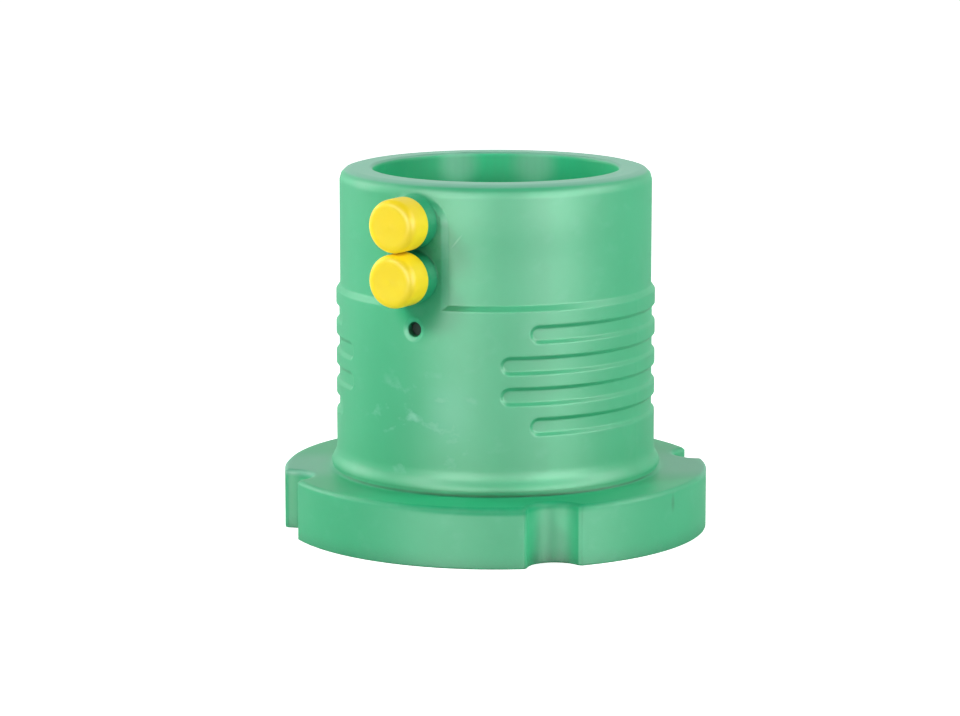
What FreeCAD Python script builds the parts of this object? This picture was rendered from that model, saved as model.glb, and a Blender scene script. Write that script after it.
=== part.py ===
import FreeCAD, Part
import math
import os

# Electrofusion flange for a 90 mm pipe.
# The origin is on the axis, in the sealing face. Z runs up to the mouth of the socket.
# The two terminals face -Y. All sizes are in millimetres.

# overall
totalHeight = 133.3

# flange
flangeWidth = 19.5
flangeThickness = 22.0
flangeTopBevel = 0.9
notchOffset = 1.65
notchRadius = 10.0
notchCornerBevel = 1.0
notchCount = 4
firstNotchAngle = -45.0

# foot bead between barrel and flange
beadProud = 2.05
beadRound = 2.4
beadRise = 2.2
footHollowRound = 8.0

# socket and waterway
socketRadius = 45.2
socketWall = 13.65
socketDepth = 78.0
socketMouthBevel = 0.8
stopWidth = 8.4

# recessed band and its rim
bandDepth = 1.45
bandStepDrop = 44.8
bandStepHeight = 2.1
rimRound = 4.2
padFootDepth = 1.8

# pad that carries the terminals
terminalDrop = 13.5
terminalPitch = 19.6
padHalfWidth = 10.9
padTopDrop = 1.3

# terminal shrouds
shroudRadius = 8.6
shroudBaseRadius = 9.5
shroudFlare = 3.0
shroudReach = 12.55
shroudBoreRadius = 6.4
shroudFloor = 1.2

# terminal pins
pinRadius = 2.0
pinTipSetback = 1.2

# caps
capRadius = 9.6
capReach = 16.15
capSkirt = 10.4
capEdgeRound = 1.4
capFit = 0.05

# fusion indicator
indicatorDrop = 52.2
indicatorRadius = 2.65
indicatorFit = 0.05
indicatorSetback = 3.6
indicatorLeadGap = 0.65
wellRimRadius = 4.4
wellRimDepth = 0.8

# grip grooves
grooveCount = 4
grooveRise = 24.9
groovePitch = 11.1
grooveDepth = 1.1
grooveFloorHalf = 2.1
grooveLipHalf = 3.4
innerGrooveAngle = 34.6
outerGrooveAngle = 45.0

# heating coil
wireWidth = 1.0
coilSkin = 1.6
coilDrop = 20.3
coilPitch = 5.0
coilTurnCount = 7
turnRunCount = 14
leadGap = 0.8

# rounds are turned as a few flats, so that the mesh stays light
beadFlatCount = 3
hollowFlatCount = 2
rimFlatCount = 3
capEdgeFlatCount = 3

mouldGap = 0.02
overshoot = 2.0
sizeTolerance = 0.01

axisUp = FreeCAD.Vector(0, 0, 1)
origin = FreeCAD.Vector(0, 0, 0)


def point(radius, z):
    return FreeCAD.Vector(radius, 0, z)


def line(a, b):
    return Part.LineSegment(a, b).toShape()


def roundCorner(centre, radius, startAngle, endAngle, flatCount):
    """Points of a round corner in the XZ plane, between two angles in degrees."""
    points = []
    for index in range(flatCount + 1):
        turn = math.radians(startAngle + (endAngle - startAngle) * index / flatCount)
        points.append(centre + point(radius * math.cos(turn), radius * math.sin(turn)))
    return points


def spin(points, angle=360.0):
    return Part.Face(Part.Wire(outline(points))).revolve(origin, axisUp, angle)


def atRim(vertex):
    return abs(math.hypot(vertex.X, vertex.Y) - flangeRadius) < sizeTolerance


def outline(points):
    return [line(a, b) for a, b in zip(points, points[1:] + points[:1])]


def turned(profile, z):
    """Solid turned from (radius, reach) points, its axis radial through the terminals at height z."""
    solid = spin([point(radius, reach) for radius, reach in profile])
    solid.rotate(origin, FreeCAD.Vector(1, 0, 0), 90)
    solid.translate(FreeCAD.Vector(0, 0, z))
    return solid


waterwayRadius = socketRadius - stopWidth
barrelRadius = socketRadius + socketWall
flangeRadius = barrelRadius + flangeWidth
boltCircleRadius = flangeRadius + notchOffset
beadRadius = barrelRadius + beadProud
bandRadius = barrelRadius - bandDepth
bandStepZ = totalHeight - bandStepDrop
upperTerminalZ = totalHeight - terminalDrop
terminalHeights = [upperTerminalZ - terminalPitch, upperTerminalZ]
indicatorZ = totalHeight - indicatorDrop
coilTop = totalHeight - coilDrop
coilFoot = coilTop - coilTurnCount * coilPitch
coilRadius = socketRadius + coilSkin + wireWidth / 2
leadRadius = coilRadius + wireWidth + leadGap
pinRoot = leadRadius + wireWidth / 2
indicatorFace = barrelRadius - indicatorSetback
indicatorFoot = pinRoot + indicatorLeadGap
shroudTip = barrelRadius + shroudReach
pinTip = shroudTip - pinTipSetback
capFace = barrelRadius + capReach
capRoof = shroudTip + capFit


def bareBody():
    """Barrel, foot bead and flange, with socket and waterway."""
    beadCentre = point(beadRadius - beadRound, flangeThickness + beadRise)
    hollowX = barrelRadius + footHollowRound
    across = hollowX - beadCentre.x
    hollowZ = beadCentre.z + math.sqrt((beadRound + footHollowRound) ** 2 - across ** 2)
    blendAngle = math.degrees(math.atan2(hollowZ - beadCentre.z, across))
    footAngle = -math.degrees(math.asin(beadRise / beadRound))
    bead = roundCorner(beadCentre, beadRound, footAngle, blendAngle, beadFlatCount)
    hollow = roundCorner(point(hollowX, hollowZ), footHollowRound, 180 + blendAngle, 180, hollowFlatCount)
    stopZ = totalHeight - socketDepth
    return spin([
        point(waterwayRadius, 0),
        point(flangeRadius, 0),
        point(flangeRadius, flangeThickness),
        *bead,
        *hollow[1:],
        point(barrelRadius, totalHeight),
        point(socketRadius + socketMouthBevel, totalHeight),
        point(socketRadius, totalHeight - socketMouthBevel),
        point(socketRadius, stopZ),
        point(waterwayRadius, stopZ),
    ])


def notchedFlange(body):
    """Bolt notches at the rim of the flange, their corners and the top edge bevelled."""
    for index in range(notchCount):
        notch = Part.makeCylinder(
            notchRadius, flangeThickness + 2 * overshoot, point(boltCircleRadius, -overshoot), axisUp)
        notch.rotate(origin, axisUp, firstNotchAngle + index * 360 / notchCount)
        body = body.cut(notch)
    corners = [
        edge for edge in body.Edges
        if len(edge.Vertexes) == 2
        and all(atRim(vertex) for vertex in edge.Vertexes)
        and edge.BoundBox.ZLength > flangeThickness - sizeTolerance
    ]
    body = body.makeChamfer(notchCornerBevel, corners)
    insideRim = boltCircleRadius - notchRadius - notchCornerBevel
    topEdges = [
        edge for edge in body.Edges
        if edge.BoundBox.ZLength < sizeTolerance
        and abs(edge.BoundBox.ZMax - flangeThickness) < sizeTolerance
        and all(math.hypot(vertex.X, vertex.Y) > insideRim for vertex in edge.Vertexes)
    ]
    return body.makeChamfer(flangeTopBevel, topEdges)


def padBlock():
    """Block with an arched top and drafted sides that keeps the pad clear of the recess."""
    archZ = terminalHeights[-1] - padTopDrop
    lowZ = bandStepZ - overshoot

    def arch(reach):
        half = padHalfWidth + padCrestReach - reach
        left = FreeCAD.Vector(-half, -reach, archZ)
        top = FreeCAD.Vector(0, -reach, archZ + half)
        right = FreeCAD.Vector(half, -reach, archZ)
        lowRight = FreeCAD.Vector(half, -reach, lowZ)
        lowLeft = FreeCAD.Vector(-half, -reach, lowZ)
        crown = Part.Arc(left, top, right).toShape()
        return Part.Wire([crown, line(right, lowRight), line(lowRight, lowLeft), line(lowLeft, left)])

    padCrestReach = math.sqrt(barrelRadius ** 2 - padHalfWidth ** 2)
    return Part.makeLoft([arch(bandRadius - padFootDepth), arch(barrelRadius + overshoot)], True, True)


def recessCutter():
    """Ring around the barrel that leaves the recessed band and the rounded rim."""
    outside = barrelRadius + overshoot
    above = totalHeight + overshoot
    slope = bandStepHeight / (barrelRadius - bandRadius)
    rimCentre = point(bandRadius - rimRound, totalHeight - rimRound)
    rim = roundCorner(rimCentre, rimRound, 0, 90, rimFlatCount)
    return spin([
        point(outside, bandStepZ - slope * overshoot),
        point(bandRadius, bandStepZ + bandStepHeight),
        *rim,
        point(rim[-1].x, above),
        point(outside, above),
    ])


def gripGroove(z, startAngle, endAngle):
    """Shallow groove round part of the barrel, between two angles from +X, with round ends."""
    floorRadius = barrelRadius - grooveDepth
    slope = (grooveLipHalf - grooveFloorHalf) / grooveDepth
    outHalf = grooveLipHalf + slope * overshoot
    outside = barrelRadius + overshoot
    cutter = spin([
        point(floorRadius, z - grooveFloorHalf),
        point(outside, z - outHalf),
        point(outside, z + outHalf),
        point(floorRadius, z + grooveFloorHalf),
    ], endAngle - startAngle)
    cutter.rotate(origin, axisUp, startAngle)
    for angle in (startAngle, endAngle):
        turn = math.radians(angle)
        outward = FreeCAD.Vector(math.cos(turn), math.sin(turn), 0)
        base = outward * floorRadius + FreeCAD.Vector(0, 0, z)
        cutter = cutter.fuse(Part.makeCone(
            grooveFloorHalf, outHalf, grooveDepth + overshoot, base, outward))
    return cutter


def gripGrooves():
    """Four grooves on each side, the same at the front strip and at the back strip."""
    cutters = []
    for index in range(grooveCount):
        z = flangeThickness + grooveRise + index * groovePitch
        nearEnd = index in (0, grooveCount - 1)
        half = outerGrooveAngle if nearEnd else innerGrooveAngle
        for frontAngle in (-90.0, 90.0):
            cutters.append(gripGroove(z, frontAngle + half, frontAngle + 180 - half))
    return cutters


def shroud(z):
    """Round shroud that widens towards its root in the barrel."""
    root = bandRadius - overshoot
    return turned([
        (0, root),
        (shroudBaseRadius, root),
        (shroudBaseRadius, barrelRadius),
        (shroudRadius, barrelRadius + shroudFlare),
        (shroudRadius, shroudTip),
        (0, shroudTip),
    ], z)


def shroudBore(z):
    return turned([
        (0, barrelRadius + shroudFloor),
        (shroudBoreRadius, barrelRadius + shroudFloor),
        (shroudBoreRadius, shroudTip + overshoot),
        (0, shroudTip + overshoot),
    ], z)


def terminalPin(z, gap=0.0):
    return turned([
        (0, pinRoot - gap),
        (pinRadius + gap, pinRoot - gap),
        (pinRadius + gap, pinTip),
        (0, pinTip),
    ], z)


def terminalCap(z):
    """Push-on cap over a shroud, round at the edge of its face."""
    skirtEnd = capFace - capSkirt
    bore = shroudRadius + capFit
    edgeCentre = point(capRadius - capEdgeRound, capFace - capEdgeRound)
    edge = roundCorner(edgeCentre, capEdgeRound, 0, 90, capEdgeFlatCount)
    return turned([
        (0, capRoof),
        (bore, capRoof),
        (bore, skirtEnd),
        (capRadius, skirtEnd),
        *[(corner.x, corner.z) for corner in edge],
        (0, capFace),
    ], z)


def indicatorPin():
    return turned([
        (0, indicatorFoot),
        (indicatorRadius, indicatorFoot),
        (indicatorRadius, indicatorFace),
        (0, indicatorFace),
    ], indicatorZ)


def indicatorWell():
    bore = indicatorRadius + indicatorFit
    slope = (wellRimRadius - bore) / wellRimDepth
    return turned([
        (0, indicatorFoot - indicatorFit),
        (bore, indicatorFoot - indicatorFit),
        (bore, barrelRadius - wellRimDepth),
        (wellRimRadius + slope * overshoot, barrelRadius + overshoot),
        (0, barrelRadius + overshoot),
    ], indicatorZ)


def heatingCoil(gap=0.0):
    """Resistance wire wound in short runs inside the wall, both ends led up to the terminal pins."""
    path = [
        FreeCAD.Vector(0, -leadRadius, terminalHeights[0]),
        FreeCAD.Vector(0, -leadRadius, coilFoot),
    ]
    for index in range(coilTurnCount * turnRunCount + 1):
        turn = 2 * math.pi * index / turnRunCount
        rise = coilPitch * index / turnRunCount
        path.append(FreeCAD.Vector(
            coilRadius * math.sin(turn), -coilRadius * math.cos(turn), coilFoot + rise))
    path.append(FreeCAD.Vector(0, -leadRadius, coilTop))
    path.append(FreeCAD.Vector(0, -leadRadius, terminalHeights[1]))
    spine = Part.makePolygon(path)
    half = wireWidth / 2 + gap
    start = path[0]
    profile = Part.makePolygon([
        start + FreeCAD.Vector(-half, -half, 0),
        start + FreeCAD.Vector(half, -half, 0),
        start + FreeCAD.Vector(half, half, 0),
        start + FreeCAD.Vector(-half, half, 0),
        start + FreeCAD.Vector(-half, -half, 0),
    ])
    return spine.makePipeShell([profile], True, False, 1)


def flangeBody():
    body = notchedFlange(bareBody())
    body = body.cut(recessCutter().cut(padBlock()))
    for cutter in gripGrooves():
        body = body.cut(cutter)
    for z in terminalHeights:
        body = body.fuse(shroud(z))
    body = body.removeSplitter()
    for z in terminalHeights:
        body = body.cut(shroudBore(z))
        body = body.cut(terminalPin(z, mouldGap))
    body = body.cut(heatingCoil(mouldGap))
    body = body.cut(indicatorWell())
    return body


if __name__ == "__main__":
    os.makedirs("parts", exist_ok=True)
    nodes = {
        "flange_body": flangeBody(),
        "terminal_pin_lower": terminalPin(terminalHeights[0]),
        "terminal_pin_upper": terminalPin(terminalHeights[1]),
        "terminal_cap_lower": terminalCap(terminalHeights[0]),
        "terminal_cap_upper": terminalCap(terminalHeights[1]),
        "fusion_indicator": indicatorPin(),
        "heating_coil": heatingCoil(),
    }
    for name, shape in nodes.items():
        shape.exportStep("parts/" + name + ".step")
        print(name, shape.isValid(), len(shape.Solids), len(shape.Faces), round(shape.Volume, 1))
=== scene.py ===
import math

import bpy
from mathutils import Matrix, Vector


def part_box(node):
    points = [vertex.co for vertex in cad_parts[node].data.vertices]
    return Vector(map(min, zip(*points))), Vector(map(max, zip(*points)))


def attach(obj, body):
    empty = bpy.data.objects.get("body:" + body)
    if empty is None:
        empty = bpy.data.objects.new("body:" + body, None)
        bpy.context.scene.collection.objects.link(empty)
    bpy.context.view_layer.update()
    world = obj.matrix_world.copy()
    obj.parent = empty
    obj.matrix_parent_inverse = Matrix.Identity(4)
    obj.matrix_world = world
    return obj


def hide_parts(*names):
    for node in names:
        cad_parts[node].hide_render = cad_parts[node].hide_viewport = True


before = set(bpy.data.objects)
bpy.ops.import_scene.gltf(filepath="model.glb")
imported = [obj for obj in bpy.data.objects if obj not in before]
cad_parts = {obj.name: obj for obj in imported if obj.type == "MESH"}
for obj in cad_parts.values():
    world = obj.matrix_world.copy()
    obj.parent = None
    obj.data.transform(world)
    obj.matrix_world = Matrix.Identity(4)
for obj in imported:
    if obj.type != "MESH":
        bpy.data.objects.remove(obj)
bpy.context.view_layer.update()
print("electrofusion flange loaded")


def newNode(tree, kind, place, **settings):
    node = tree.nodes.new(kind)
    node.location = place
    for name, value in settings.items():
        setattr(node, name, value)
    return node


def joinSockets(tree, *pairs):
    for source, target in pairs:
        tree.links.new(source, target)


def newGroup(name, floatInputs=(), vectorInputs=(), outputs=()):
    group = bpy.data.node_groups.new(name, "ShaderNodeTree")
    for socketName, value in floatInputs:
        socket = group.interface.new_socket(socketName, in_out="INPUT", socket_type="NodeSocketFloat")
        socket.default_value = value
    for socketName, value in vectorInputs:
        socket = group.interface.new_socket(socketName, in_out="INPUT", socket_type="NodeSocketVector")
        socket.default_value = value
    for socketName in outputs:
        group.interface.new_socket(socketName, in_out="OUTPUT", socket_type="NodeSocketFloat")
    given = newNode(group, "NodeGroupInput", (-900, 0))
    result = newNode(group, "NodeGroupOutput", (700, 0))
    return group, given, result


def emptyMaterial(name):
    material = bpy.data.materials.new(name)
    material.use_nodes = True
    tree = material.node_tree
    tree.nodes.clear()
    output = newNode(tree, "ShaderNodeOutputMaterial", (1500, 0))
    shader = newNode(tree, "ShaderNodeBsdfPrincipled", (1200, 0))
    joinSockets(tree, (shader.outputs["BSDF"], output.inputs["Surface"]))
    return material, tree, shader


mouldSkin = {
    "cloudDetail": 4.0,
    "cloudBreakUp": 0.6,
    "cloudRange": (0.3, 0.7),
    "markSize": 110.0,
    "markDetail": 6.0,
    "markTurn": (0.3, 0.5, 0.2),
    "markStretch": (1.0, 1.2, 1.4),
    "markRange": (0.57, 0.72),
    "markDepth": 0.00003,
    "markDullness": 0.25,
    "cloudDullness": 0.08,
    "grainSize": 900.0,
    "grainDetail": 3.0,
    "sinkSize": 28.0,
    "sinkDetail": 1.0,
    "sinkDepth": 0.00012,
    "creviceCore": 0.15,
}


def noiseNode(group, place, size=None, detail=2.0):
    noise = newNode(group, "ShaderNodeTexNoise", place)
    noise.inputs["Detail"].default_value = detail
    if size is not None:
        noise.inputs["Scale"].default_value = size
    return noise


def mathNode(group, place, operation, second=None):
    node = newNode(group, "ShaderNodeMath", place, operation=operation)
    if second is not None:
        node.inputs[1].default_value = second
    return node


def makeMouldedSurface():
    group, given, result = newGroup(
        "mouldedSurface",
        floatInputs=(("Cloud Size", 30.0), ("Scuff Amount", 0.3), ("Grain Depth", 0.00002), ("Roughness", 0.4)),
        outputs=("Cloud", "Scuff", "Roughness", "Height"))
    place = newNode(group, "ShaderNodeTexCoord", (-900, -300))
    clouds = noiseNode(group, (-600, 200), detail=mouldSkin["cloudDetail"])  # slow change of colour
    clouds.inputs["Roughness"].default_value = mouldSkin["cloudBreakUp"]
    marks = noiseNode(group, (-600, -100), mouldSkin["markSize"], mouldSkin["markDetail"])  # handling marks
    stretch = newNode(group, "ShaderNodeMapping", (-760, -260))
    stretch.inputs["Rotation"].default_value = mouldSkin["markTurn"]
    stretch.inputs["Scale"].default_value = mouldSkin["markStretch"]
    pick = newNode(group, "ShaderNodeMapRange", (-380, -100))
    pick.inputs["From Min"].default_value, pick.inputs["From Max"].default_value = mouldSkin["markRange"]
    amount = mathNode(group, (-180, -100), "MULTIPLY")
    markDepth = mathNode(group, (0, -220), "MULTIPLY", -mouldSkin["markDepth"])
    grain = noiseNode(group, (-600, -420), mouldSkin["grainSize"], mouldSkin["grainDetail"])  # mould skin
    grainDepth = mathNode(group, (-380, -420), "MULTIPLY")
    sink = noiseNode(group, (-600, -640), mouldSkin["sinkSize"], mouldSkin["sinkDetail"])  # walls sink a little
    sinkDepth = mathNode(group, (-380, -640), "MULTIPLY", mouldSkin["sinkDepth"])
    marksAndGrain = mathNode(group, (180, -420), "ADD")
    height = mathNode(group, (360, -420), "ADD")
    dull = mathNode(group, (180, 0), "MULTIPLY_ADD", mouldSkin["markDullness"])
    dullCloud = mathNode(group, (360, 0), "MULTIPLY_ADD", mouldSkin["cloudDullness"])
    joinSockets(
        group,
        (place.outputs["Object"], clouds.inputs["Vector"]),
        (given.outputs["Cloud Size"], clouds.inputs["Scale"]),
        (place.outputs["Object"], stretch.inputs["Vector"]),
        (stretch.outputs["Vector"], marks.inputs["Vector"]),
        (marks.outputs["Fac"], pick.inputs["Value"]),
        (pick.outputs["Result"], amount.inputs[0]),
        (given.outputs["Scuff Amount"], amount.inputs[1]),
        (place.outputs["Object"], grain.inputs["Vector"]),
        (grain.outputs["Fac"], grainDepth.inputs[0]),
        (given.outputs["Grain Depth"], grainDepth.inputs[1]),
        (place.outputs["Object"], sink.inputs["Vector"]),
        (sink.outputs["Fac"], sinkDepth.inputs[0]),
        (amount.outputs["Value"], markDepth.inputs[0]),
        (markDepth.outputs["Value"], marksAndGrain.inputs[0]),
        (grainDepth.outputs["Value"], marksAndGrain.inputs[1]),
        (marksAndGrain.outputs["Value"], height.inputs[0]),
        (sinkDepth.outputs["Value"], height.inputs[1]),
        (amount.outputs["Value"], dull.inputs[0]),
        (given.outputs["Roughness"], dull.inputs[2]),
        (clouds.outputs["Fac"], dullCloud.inputs[0]),
        (dull.outputs["Value"], dullCloud.inputs[2]),
        (clouds.outputs["Fac"], result.inputs["Cloud"]),
        (amount.outputs["Value"], result.inputs["Scuff"]),
        (dullCloud.outputs["Value"], result.inputs["Roughness"]),
        (height.outputs["Value"], result.inputs["Height"]),
    )
    return group


def makeSpotMask():
    group, given, result = newGroup(
        "spotMask",
        floatInputs=(("Core", 0.3), ("Amount", 1.0)),
        vectorInputs=(("Place", (0, 0, 0)), ("Turn", (0, 0, 0)), ("Reach", (0.01, 0.01, 0.01))),
        outputs=("Mask",))
    place = newNode(group, "ShaderNodeTexCoord", (-900, -300))
    inSpot = newNode(group, "ShaderNodeMapping", (-600, 0), vector_type="TEXTURE")
    distance = newNode(group, "ShaderNodeVectorMath", (-400, 0), operation="LENGTH")
    fall = newNode(group, "ShaderNodeMapRange", (-200, 0), interpolation_type="SMOOTHSTEP")
    fall.inputs["From Max"].default_value = 1.0
    fall.inputs["To Min"].default_value = 1.0
    fall.inputs["To Max"].default_value = 0.0
    amount = mathNode(group, (200, 0), "MULTIPLY")
    joinSockets(
        group,
        (place.outputs["Object"], inSpot.inputs["Vector"]),
        (given.outputs["Place"], inSpot.inputs["Location"]),
        (given.outputs["Turn"], inSpot.inputs["Rotation"]),
        (given.outputs["Reach"], inSpot.inputs["Scale"]),
        (inSpot.outputs["Vector"], distance.inputs[0]),
        (distance.outputs["Value"], fall.inputs["Value"]),
        (given.outputs["Core"], fall.inputs["From Min"]),
        (fall.outputs["Result"], amount.inputs[0]),
        (given.outputs["Amount"], amount.inputs[1]),
        (amount.outputs["Value"], result.inputs["Mask"]),
    )
    return group


mouldedSurface = makeMouldedSurface()
spotMask = makeSpotMask()


def colourBetween(tree, factor, darkColour, lightColour, place):
    mix = newNode(tree, "ShaderNodeMix", place, data_type="RGBA")
    mix.inputs["A"].default_value = (*darkColour, 1.0)
    mix.inputs["B"].default_value = (*lightColour, 1.0)
    joinSockets(tree, (factor, mix.inputs["Factor"]))
    return mix.outputs["Result"]


def spotNode(tree, spot, place):
    node = newNode(tree, "ShaderNodeGroup", place, node_tree=spotMask)
    for socketName, key in (("Place", "place"), ("Turn", "turn"), ("Reach", "reach"),
                            ("Core", "core"), ("Amount", "amount")):
        if key in spot:
            node.inputs[socketName].default_value = spot[key]
    return node.outputs["Mask"]


def paintOver(tree, below, mask, colour, place):
    mix = newNode(tree, "ShaderNodeMix", place, data_type="RGBA")
    mix.inputs["B"].default_value = (*colour, 1.0)
    joinSockets(tree, (below, mix.inputs["A"]), (mask, mix.inputs["Factor"]))
    return mix.outputs["Result"]


def paintSpots(tree, colour, spots, across):
    for spot in spots:
        colour = paintOver(tree, colour, spotNode(tree, spot, (across, 400)), spot["colour"], (across, 160))
        across += 160
    return colour, across


def setOrJoin(tree, value, socket):
    if isinstance(value, float):
        socket.default_value = value
    else:
        joinSockets(tree, (value, socket))


def addSpots(tree, spots, strength, value, place):
    for spot in spots:
        step = mathNode(tree, place, "MULTIPLY_ADD", spot[strength])
        joinSockets(tree, (spotNode(tree, spot, (place[0] - 200, place[1])), step.inputs[0]))
        setOrJoin(tree, value, step.inputs[2])
        value = step.outputs["Value"]
    return value


# painted shade: darkens corners and crevices where ambient occlusion finds them
def paintedCreviceShade(tree, look):
    corners = newNode(tree, "ShaderNodeAmbientOcclusion", (-900, -160), samples=look["edgeSamples"])
    corners.inputs["Distance"].default_value = look["creviceReach"]
    crevice = newNode(tree, "ShaderNodeMapRange", (-700, -160), interpolation_type="SMOOTHSTEP")
    crevice.inputs["From Min"].default_value = mouldSkin["creviceCore"]
    crevice.inputs["From Max"].default_value = look["creviceEdge"]
    crevice.inputs["To Min"].default_value = look["creviceShade"]
    crevice.inputs["To Max"].default_value = 0.0
    joinSockets(tree, (corners.outputs["AO"], crevice.inputs["Value"]))
    return crevice.outputs["Result"]


def plasticColour(tree, look, surface):
    contrast = newNode(tree, "ShaderNodeMapRange", (-900, 160))
    dark, light = mouldSkin["cloudRange"]
    contrast.inputs["From Min"].default_value = dark
    contrast.inputs["From Max"].default_value = light
    joinSockets(tree, (surface.outputs["Cloud"], contrast.inputs["Value"]))
    colour = colourBetween(
        tree, contrast.outputs["Result"], look["darkColour"], look["lightColour"], (-700, 160))
    # painted reflection: pale sheen on top faces
    colour, across = paintSpots(tree, colour, look.get("paintedTopSheen", ()), -500)
    # painted shade in corners and crevices
    colour = paintOver(tree, colour, paintedCreviceShade(tree, look), look["creviceShadeColour"], (across, 160))
    # spots: stains, wear and a scratch, mixed with painted shadows, highlights and reflections
    colour, across = paintSpots(tree, colour, look.get("spots", ()), across + 160)
    # painted light, shade and reflections inside the bore
    if "boreSpots" in look:
        boreColour, across = paintSpots(tree, colour, look["boreSpots"], across)
        inside = newNode(tree, "ShaderNodeMix", (across, 160), data_type="RGBA")
        joinSockets(
            tree,
            (colour, inside.inputs["A"]),
            (boreColour, inside.inputs["B"]),
            (spotNode(tree, look["bore"], (across, 400)), inside.inputs["Factor"]),
        )
        colour = inside.outputs["Result"]
        across += 160
    return paintOver(tree, colour, surface.outputs["Scuff"], look["scuffColour"], (across, 160))


def softEdges(tree, look):
    edge = newNode(tree, "ShaderNodeBevel", (600, -300), samples=look["edgeSamples"])  # softened moulded edges
    radius = addSpots(tree, look.get("softSpots", ()), "radius", look["edgeRadius"], (400, -300))
    setOrJoin(tree, radius, edge.inputs["Radius"])
    return edge.outputs["Normal"]


def mouldedRelief(tree, look, surface):
    relief = newNode(tree, "ShaderNodeBump", (900, -300))
    relief.inputs["Distance"].default_value = 1.0
    height = addSpots(tree, look.get("swellings", ()), "height", surface.outputs["Height"], (700, -500))
    joinSockets(tree, (height, relief.inputs["Height"]), (softEdges(tree, look), relief.inputs["Normal"]))
    return relief.outputs["Normal"]


def addMattPlaces(tree, look, shader):
    fullLevel = 0.5
    level = None
    for spot in look.get("mattSpots", ()):
        matt = mathNode(tree, (900, -700), "MULTIPLY_ADD", spot["level"] - fullLevel)
        matt.inputs[2].default_value = fullLevel
        joinSockets(tree, (spotNode(tree, spot, (700, -700)), matt.inputs[0]))
        if level is None:
            level = matt.outputs["Value"]
        else:
            least = mathNode(tree, (1050, -700), "MINIMUM")
            joinSockets(tree, (level, least.inputs[0]), (matt.outputs["Value"], least.inputs[1]))
            level = least.outputs["Value"]
    if level is not None:
        joinSockets(tree, (level, shader.inputs["Specular IOR Level"]))


def mouldedMaterial(name, look):
    material, tree, shader = emptyMaterial(name)
    surface = newNode(tree, "ShaderNodeGroup", (-1100, 0), node_tree=mouldedSurface)
    for socketName, key in (("Cloud Size", "cloudSize"), ("Grain Depth", "grainDepth"),
                            ("Roughness", "roughness")):
        surface.inputs[socketName].default_value = look[key]
    scuffs = addSpots(tree, look.get("wornSpots", ()), "wear", look["scuffAmount"], (-1300, 0))
    setOrJoin(tree, scuffs, surface.inputs["Scuff Amount"])
    joinSockets(
        tree,
        (plasticColour(tree, look, surface), shader.inputs["Base Color"]),
        (surface.outputs["Roughness"], shader.inputs["Roughness"]),
        (mouldedRelief(tree, look, surface), shader.inputs["Normal"]),
    )
    shader.inputs["IOR"].default_value = look["ior"]
    addMattPlaces(tree, look, shader)
    return material


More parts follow.
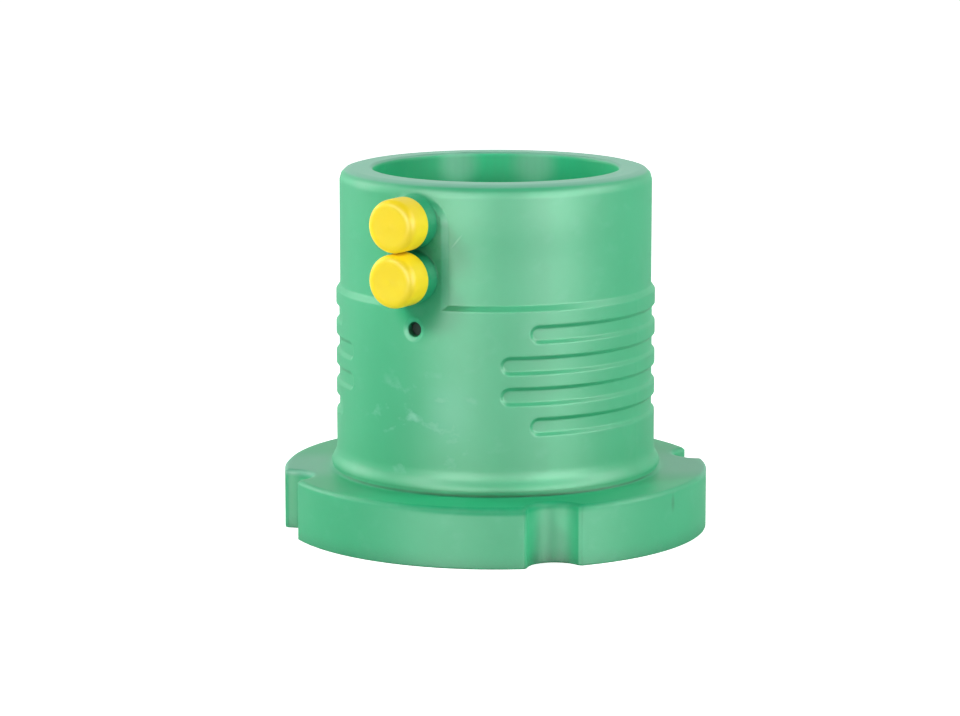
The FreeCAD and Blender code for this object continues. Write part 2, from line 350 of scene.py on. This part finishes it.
greenPlastic = {
    "darkColour": (0.021, 0.405, 0.174),
    "lightColour": (0.028, 0.437, 0.195),
    "scuffColour": (0.16, 0.58, 0.38),
    # painted shade in corners, creases and round the shrouds
    "creviceShadeColour": (0.002, 0.12, 0.05),
    "creviceReach": 0.012,
    "creviceEdge": 0.76,
    "creviceShade": 0.95,
    "cloudSize": 22.0,
    "scuffAmount": 0.08,
    "grainDepth": 0.000012,
    "roughness": 0.42,
    "ior": 1.6,
    "edgeRadius": 0.0009,
    "edgeSamples": 6,
    # painted reflection: pale sheen on the mouth and on both ends of the flange's top
    "paintedTopSheen": [
        {"place": (0, 0, 0.1335), "reach": (1.0, 1.0, 0.0016), "core": 0.4, "amount": 0.55,
         "colour": (0.26, 0.52, 0.43)},
        {"place": (0.060, 0.034, 0.022), "reach": (0.031, 0.031, 0.003), "amount": 0.85,
         "colour": (0.42, 0.51, 0.60)},
        {"place": (-0.058, -0.036, 0.022), "reach": (0.029, 0.029, 0.003), "amount": 0.85,
         "colour": (0.42, 0.51, 0.60)},
    ],
    "spots": [
        # top of the flange and foot of the bead back to plain green over the painted crevice shade, then a
        # painted highlight round the bead's foot
        {"place": (0, 0, 0.0225), "reach": (1.0, 1.0, 0.0045), "core": 0.3, "amount": 0.75,
         "colour": (0.018, 0.42, 0.18)},
        {"place": (0, 0, 0.0225), "reach": (0.0665, 0.0665, 0.0040), "core": 0.9, "amount": 0.5,
         "colour": (0.05, 0.56, 0.27)},
        # painted reflections on the mouth, then a worn place low on the barrel
        {"place": (-0.036, 0.0274, 0.131), "reach": (0.008, 0.008, 0.016), "core": 0.0, "amount": 0.5,
         "colour": (0.25, 0.70, 0.46)},
        {"place": (-0.0083, 0.0444, 0.131), "reach": (0.009, 0.009, 0.014), "core": 0.0, "amount": 0.35,
         "colour": (0.25, 0.70, 0.46)},
        {"place": (0.0133, -0.0573, 0.052), "reach": (0.013, 0.013, 0.017), "core": 0.0, "amount": 0.35,
         "colour": (0.12, 0.56, 0.34)},
        # scratch beside the terminals
        {"place": (0.0157, -0.0552, 0.1134), "turn": (0, -0.89, 0.2775), "reach": (0.0040, 0.003, 0.0005),
         "core": 0.0, "amount": 0.55, "colour": (0.20, 0.65, 0.42)},
        # lighter green in the front notch, and a stain on the flange's edge
        {"place": (0.0560, -0.0560, 0.0110), "reach": (0.0130, 0.0130, 0.0150), "core": 0.7, "amount": 0.5,
         "colour": (0.05, 0.56, 0.27)},
        {"place": (0.0776, -0.0075, 0.017), "reach": (0.0016, 0.0016, 0.0045), "core": 0.0, "amount": 0.6,
         "colour": (0.012, 0.17, 0.08)},
        # painted shadow round and under both shrouds, then the rim of the indicator's well painted lighter over
        # the painted crevice shade
        {"place": (0.003, -0.0600, 0.1005), "reach": (0.0145, 0.0140, 0.0250), "core": 0.55, "amount": 0.5,
         "colour": (0.006, 0.27, 0.12)},
        {"place": (0.003, -0.0630, 0.1198), "reach": (0.0125, 0.0120, 0.0125), "core": 0.6, "amount": 0.3,
         "colour": (0.010, 0.36, 0.16)},
        {"place": (0, -0.0592, 0.0811), "reach": (0.0050, 0.0022, 0.0050), "core": 0.6, "amount": 0.7,
         "colour": (0.07, 0.55, 0.30)},
    ],
    "bore": {"place": (0, 0, 0.09), "reach": (0.0458, 0.0458, 1.0), "core": 0.98},
    "boreSpots": [
        # whole bore painted lighter green, a painted pool of light at the mouth, painted shade further in, then
        # two painted reflections
        {"place": (0, 0, 0.09), "reach": (1.0, 1.0, 1.0), "core": 0.5,
         "colour": (0.020, 0.48, 0.20)},
        {"place": (-0.020, 0.038, 0.136), "reach": (0.043, 0.043, 0.032), "core": 0.2,
         "colour": (0.026, 0.88, 0.40)},
        {"place": (0, 0, 0.06), "reach": (0.0574, 0.0574, 0.1136), "core": 0.93,
         "colour": (0.014, 0.50, 0.20)},
        {"place": (-0.0335, 0.0303, 0.129), "reach": (0.0105, 0.0105, 0.0115), "core": 0.2, "amount": 0.85,
         "colour": (0.30, 0.85, 0.58)},
        {"place": (-0.0083, 0.0444, 0.129), "reach": (0.012, 0.012, 0.0115), "core": 0.2, "amount": 0.75,
         "colour": (0.30, 0.85, 0.58)},
    ],
    # more scuffs low on the barrel
    "wornSpots": [
        {"place": (0.002, -0.0590, 0.046), "reach": (0.034, 0.034, 0.026), "core": 0.2, "wear": 0.9},
    ],
    # rounder bead and rim
    "softSpots": [
        {"place": (0, 0, 0.0275), "reach": (1.0, 1.0, 0.0085), "core": 0.6, "radius": 0.0021},
        {"place": (0, 0, 0.1320), "reach": (1.0, 1.0, 0.0060), "core": 0.6, "radius": 0.0012},
    ],
    # dull bore, flange top under the front, recess and upper shroud
    "mattSpots": [
        {"place": (0, 0, 0.09), "reach": (0.0458, 0.0458, 1.0), "core": 0.98, "level": 0.05},
        {"place": (0.036, -0.062, 0.0215), "reach": (0.055, 0.055, 0.003), "core": 0.5, "level": 0.15},
        {"place": (0.002, -0.0600, 0.1005), "reach": (0.0145, 0.0150, 0.0260), "core": 0.6, "level": 0.12},
        {"place": (0.003, -0.0630, 0.1198), "reach": (0.0125, 0.0120, 0.0125), "core": 0.6, "level": 0.15},
    ],
    # the recessed band bulges a little
    "swellings": [
        {"place": (0, 0, 0.118), "reach": (1.0, 1.0, 0.013), "core": 0.0, "height": 0.0002},
    ],
}
yellowPlastic = {
    "darkColour": (1.0, 0.75, 0.006),
    "lightColour": (1.0, 0.80, 0.012),
    "scuffColour": (1.0, 0.84, 0.05),
    # painted shade in corners and creases
    "creviceShadeColour": (0.60, 0.30, 0.0),
    "creviceReach": 0.002,
    "creviceEdge": 0.5,
    "creviceShade": 0.4,
    "cloudSize": 60.0,
    "scuffAmount": 0.2,
    "grainDepth": 0.000008,
    "roughness": 0.36,
    "ior": 1.38,
    "edgeRadius": 0.0003,
    "edgeSamples": 4,
}
# near-black indicator pin: painted shade, dark like the deep hole it sits in
indicatorPlastic = {
    "darkColour": (0.003, 0.022, 0.012),
    "lightColour": (0.006, 0.040, 0.022),
    "scuffColour": (0.03, 0.16, 0.09),
    # painted shade in corners and creases
    "creviceShadeColour": (0.001, 0.008, 0.004),
    "creviceReach": 0.003,
    "creviceEdge": 0.7,
    "creviceShade": 0.8,
    "cloudSize": 120.0,
    "scuffAmount": 0.2,
    "grainDepth": 0.000006,
    "roughness": 0.5,
    "ior": 1.3,
    "edgeRadius": 0.0003,
    "edgeSamples": 4,
}

greenMaterial = mouldedMaterial("greenPlastic", greenPlastic)
yellowMaterial = mouldedMaterial("yellowPlastic", yellowPlastic)
indicatorMaterial = mouldedMaterial("indicatorPlastic", indicatorPlastic)
print("mouldings coloured")

metals = {
    "brassColour": (0.78, 0.58, 0.26),
    "brassTarnish": (0.42, 0.28, 0.12),
    "brassRoughness": (0.22, 0.42),
    "wireColour": (0.42, 0.36, 0.30),
    "wireTarnish": (0.20, 0.17, 0.15),
    "wireRoughness": (0.35, 0.6),
    "markSize": 420.0,
    "markDetail": 5.0,
    "markDepth": 0.00001,
}


def metalMaterial(name, brightColour, tarnishColour, roughnessRange):
    material, tree, shader = emptyMaterial(name)
    place = newNode(tree, "ShaderNodeTexCoord", (-900, 0))
    marks = noiseNode(tree, (-700, 0), metals["markSize"], metals["markDetail"])
    gloss = newNode(tree, "ShaderNodeMapRange", (-300, -100))
    gloss.inputs["To Min"].default_value, gloss.inputs["To Max"].default_value = roughnessRange
    relief = newNode(tree, "ShaderNodeBump", (200, -300))
    relief.inputs["Distance"].default_value = metals["markDepth"]
    colour = colourBetween(tree, marks.outputs["Fac"], brightColour, tarnishColour, (-300, 160))
    joinSockets(
        tree,
        (place.outputs["Object"], marks.inputs["Vector"]),
        (colour, shader.inputs["Base Color"]),
        (marks.outputs["Fac"], gloss.inputs["Value"]),
        (gloss.outputs["Result"], shader.inputs["Roughness"]),
        (marks.outputs["Fac"], relief.inputs["Height"]),
        (relief.outputs["Normal"], shader.inputs["Normal"]),
    )
    shader.inputs["Metallic"].default_value = 1.0
    return material


brassMaterial = metalMaterial(
    "brass", metals["brassColour"], metals["brassTarnish"], metals["brassRoughness"])
wireMaterial = metalMaterial(
    "resistanceWire", metals["wireColour"], metals["wireTarnish"], metals["wireRoughness"])

nodeMaterials = {
    "flange_body": greenMaterial,
    "terminal_cap_lower": yellowMaterial,
    "terminal_cap_upper": yellowMaterial,
    "fusion_indicator": indicatorMaterial,
    "terminal_pin_lower": brassMaterial,
    "terminal_pin_upper": brassMaterial,
    "heating_coil": wireMaterial,
}
for nodeName, material in nodeMaterials.items():
    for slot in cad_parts[nodeName].material_slots:
        slot.material = material
print("metals coloured")

capShape = {
    "sides": 96,
    "wall": 0.00095,
    "roof": 0.0036,
    "edgeRound": 0.0028,
    "edgeSteps": 7,
    "dishRadius": 0.0060,
    "dishDepth": 0.00012,
    "dishEdge": 0.0012,
    "gateRadius": 0.0007,
    "gateHeight": 0.00006,
    "smoothAngle": 40.0,
    "nearEnd": 0.0001,
    "sameFace": 0.000001,
}


def selectFaces(piece, wanted):
    bpy.ops.object.mode_set(mode="OBJECT")
    for polygon in piece.data.polygons:
        polygon.select = wanted(polygon)
    bpy.ops.object.mode_set(mode="EDIT")


def makeCap(nodeName):
    low, high = (Vector(corner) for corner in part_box(nodeName))
    radius = (high.x - low.x) / 2
    length = high.y - low.y
    bpy.ops.object.select_all(action="DESELECT")
    bpy.ops.mesh.primitive_cylinder_add(
        vertices=capShape["sides"], radius=radius, depth=length,
        location=(low + high) / 2, rotation=(math.radians(90), 0, 0))
    cap = bpy.context.active_object
    cap.name = nodeName.replace("terminal_cap", "pushOnCap")
    bpy.ops.object.transform_apply(location=True, rotation=True, scale=True)
    bpy.ops.object.mode_set(mode="EDIT")
    bpy.ops.mesh.select_mode(type="FACE")
    selectFaces(cap, lambda polygon: polygon.center.y > high.y - capShape["nearEnd"])  # open end of the skirt
    bpy.ops.mesh.inset(thickness=capShape["wall"])
    bpy.ops.mesh.extrude_region_move(TRANSFORM_OT_translate={"value": (0, capShape["roof"] - length, 0)})
    selectFaces(cap, lambda polygon: polygon.center.y < low.y + capShape["nearEnd"])  # face of the cap
    bpy.ops.mesh.bevel(offset=capShape["edgeRound"], segments=capShape["edgeSteps"], affect="EDGES")
    faceY = low.y + capShape["sameFace"]
    selectFaces(cap, lambda polygon: polygon.center.y < faceY and len(polygon.vertices) > 4)
    bpy.ops.mesh.inset(thickness=radius - capShape["edgeRound"] - capShape["dishRadius"])
    bpy.ops.mesh.inset(thickness=capShape["dishEdge"])
    bpy.ops.transform.translate(value=(0, capShape["dishDepth"], 0))
    bpy.ops.mesh.inset(thickness=capShape["dishRadius"] - capShape["dishEdge"] - capShape["gateRadius"])
    bpy.ops.mesh.inset(thickness=capShape["gateRadius"] / 2)  # rest of the gate in the middle
    bpy.ops.transform.translate(value=(0, -capShape["gateHeight"], 0))
    bpy.ops.object.mode_set(mode="OBJECT")
    bpy.ops.object.shade_smooth_by_angle(angle=math.radians(capShape["smoothAngle"]))
    cap.data.materials.append(yellowMaterial)
    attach(cap, "root")
    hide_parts(nodeName)


for nodeName in ("terminal_cap_lower", "terminal_cap_upper"):
    makeCap(nodeName)
print("caps rounded")

studio = {
    "floorSize": 9.0,
    "floorColour": (0.80, 0.80, 0.80),
    "floorRoughness": 0.7,
    "fibreSize": 40.0,
    "fibreShade": 0.985,
    "whiteShare": 0.78,
    "ambient": 0.42,
    "ceilingAmbient": 0.10,
    "ambientColour": (1.0, 1.0, 1.0),
    "lampAim": (0, 0, 0.06),
}


def makeFloor():
    bpy.ops.object.select_all(action="DESELECT")
    bpy.ops.mesh.primitive_plane_add(size=studio["floorSize"], location=(0, 0, 0))
    floor = bpy.context.active_object
    floor.name = "studioFloor"
    material, tree, shader = emptyMaterial("floorPaper")
    place = newNode(tree, "ShaderNodeTexCoord", (-700, 0))
    fibres = noiseNode(tree, (-500, 0), studio["fibreSize"])
    shade = [channel * studio["fibreShade"] for channel in studio["floorColour"]]
    colour = colourBetween(tree, fibres.outputs["Fac"], shade, studio["floorColour"], (-250, 100))
    seen = newNode(tree, "ShaderNodeLightPath", (0, 300))
    white = newNode(tree, "ShaderNodeEmission", (400, 300))
    whiteShare = mathNode(tree, (200, 300), "MULTIPLY", studio["whiteShare"])
    both = newNode(tree, "ShaderNodeAddShader", (750, 150))
    output = next(node for node in tree.nodes if node.type == "OUTPUT_MATERIAL")
    joinSockets(
        tree,
        (place.outputs["Object"], fibres.inputs["Vector"]),
        (colour, shader.inputs["Base Color"]),
        (seen.outputs["Is Camera Ray"], whiteShare.inputs[0]),
        (whiteShare.outputs["Value"], white.inputs["Strength"]),
        (shader.outputs["BSDF"], both.inputs[0]),
        (white.outputs["Emission"], both.inputs[1]),
        (both.outputs["Shader"], output.inputs["Surface"]),
    )
    shader.inputs["Roughness"].default_value = studio["floorRoughness"]
    floor.data.materials.append(material)


def makeWorld():
    world = bpy.data.worlds.new("studioWorld")
    world.use_nodes = True
    tree = world.node_tree
    tree.nodes.clear()
    output = newNode(tree, "ShaderNodeOutputWorld", (600, 0))
    room = newNode(tree, "ShaderNodeBackground", (200, 100))
    room.inputs["Color"].default_value = (*studio["ambientColour"], 1.0)
    direction = newNode(tree, "ShaderNodeTexCoord", (-400, 100))
    upward = newNode(tree, "ShaderNodeSeparateXYZ", (-200, 100))
    ceiling = newNode(tree, "ShaderNodeMapRange", (0, 100))  # walls are lighter than the ceiling
    ceiling.inputs["To Min"].default_value = studio["ambient"]
    ceiling.inputs["To Max"].default_value = studio["ceilingAmbient"]
    paper = newNode(tree, "ShaderNodeBackground", (200, -100))
    paper.inputs["Strength"].default_value = 1.0
    paper.inputs["Color"].default_value = (1.0, 1.0, 1.0, 1.0)
    seen = newNode(tree, "ShaderNodeLightPath", (-200, 300))
    direct = mathNode(tree, (0, 300), "MAXIMUM")
    mix = newNode(tree, "ShaderNodeMixShader", (400, 0))
    joinSockets(
        tree,
        (direction.outputs["Generated"], upward.inputs["Vector"]),
        (upward.outputs["Z"], ceiling.inputs["Value"]),
        (ceiling.outputs["Result"], room.inputs["Strength"]),
        (seen.outputs["Is Camera Ray"], direct.inputs[0]),
        (seen.outputs["Is Glossy Ray"], direct.inputs[1]),
        (direct.outputs["Value"], mix.inputs["Fac"]),
        (room.outputs["Background"], mix.inputs[1]),
        (paper.outputs["Background"], mix.inputs[2]),
        (mix.outputs["Shader"], output.inputs["Surface"]),
    )
    bpy.context.scene.world = world


makeFloor()
makeWorld()

view = {
    "place": (0.65002, -1.13742, 0.29266),
    "tilt": 80.01,
    "azimuth": 30.0,
    "lens": 134.59,
    "sensor": 36.0,
    "near": 0.05,
    "far": 30.0,
}
lamps = {
    "frontKey": {"azimuth": -26.0, "distance": 1.05, "height": 0.70, "size": (0.2, 0.2), "power": 5.6},
    "leftSoftbox": {"azimuth": -82.0, "distance": 1.3, "height": 0.6, "size": (0.5, 0.9), "power": 9.0},
    "rightSoftbox": {"azimuth": 113.0, "distance": 1.3, "height": 0.8, "size": (0.5, 0.9), "power": 12.6},
}
reflectors = {
    "leftReflector": {"azimuth": 2.0, "distance": 1.75, "height": 0.36, "size": (1.1, 0.8), "power": 34.0},
    "middleReflector": {"azimuth": 30.0, "distance": 1.9, "height": 0.36, "size": (1.2, 0.8), "power": 8.0},
    "rightReflector": {"azimuth": 72.0, "distance": 1.75, "height": 0.36, "size": (1.3, 0.8), "power": 42.0},
}


def addLamp(name, lamp):
    turn = math.radians(lamp["azimuth"])  # counts from -Y towards +X
    place = Vector((math.sin(turn) * lamp["distance"], -math.cos(turn) * lamp["distance"], lamp["height"]))
    towards = Vector(studio["lampAim"]) - place
    bpy.ops.object.light_add(type="AREA", location=place, rotation=towards.to_track_quat("-Z", "Y").to_euler())
    light = bpy.context.active_object
    light.name = name
    light.data.shape = "RECTANGLE"
    light.data.size, light.data.size_y = lamp["size"]
    light.data.energy = lamp["power"]
    light.visible_camera = False
    return light


for lampName, lamp in lamps.items():
    addLamp(lampName, lamp)
for lampName, lamp in reflectors.items():
    addLamp(lampName, lamp).visible_diffuse = False  # only the sheen sees these

bpy.ops.object.camera_add(
    location=view["place"],
    rotation=(math.radians(view["tilt"]), 0, math.radians(view["azimuth"])))
camera = bpy.context.active_object
camera.data.lens = view["lens"]
camera.data.sensor_width = view["sensor"]
camera.data.clip_start = view["near"]
camera.data.clip_end = view["far"]
bpy.context.scene.camera = camera
bpy.context.scene.view_settings.view_transform = "Standard"
print("studio lit")
